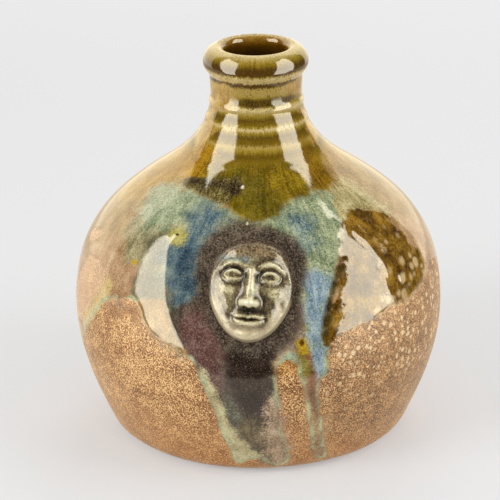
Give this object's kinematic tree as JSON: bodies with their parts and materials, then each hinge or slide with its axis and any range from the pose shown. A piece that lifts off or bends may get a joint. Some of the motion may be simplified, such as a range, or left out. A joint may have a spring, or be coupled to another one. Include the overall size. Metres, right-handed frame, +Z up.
{
  "type": "bottle carafe",
  "caption": "Round-bellied stoneware bottle with a short ringed neck, a flared lip and a calm face mask applied to its shoulder.",
  "frame": {"origin": "centre of the flat base, on the surface that the bottle stands on", "axes": "+Z up along the neck, -Y out of the front, where the mask is, +X to the right of someone who looks at the front"},
  "size_m": [0.165, 0.1686, 0.1758],
  "materials": {
    "vessel_glaze": "glossy salt and ash glaze over toasted stoneware, with olive, seafoam, cobalt and dark runs",
    "mask_glaze": "glossy, dark brown in the hollows and cream on the high places"
  },
  "bodies": {
    "root": {"vessel": "vessel_glaze", "mask_pad": "mask_glaze", "nose": "mask_glaze", "brow_left": "mask_glaze", "brow_right": "mask_glaze", "eyeball_left": "mask_glaze", "eyeball_right": "mask_glaze", "upper_eyelid_left": "mask_glaze", "upper_eyelid_right": "mask_glaze", "lower_eyelid_left": "mask_glaze", "lower_eyelid_right": "mask_glaze", "upper_lip": "mask_glaze", "lower_lip": "mask_glaze", "chin": "mask_glaze"}
  },
  "joints": []
}
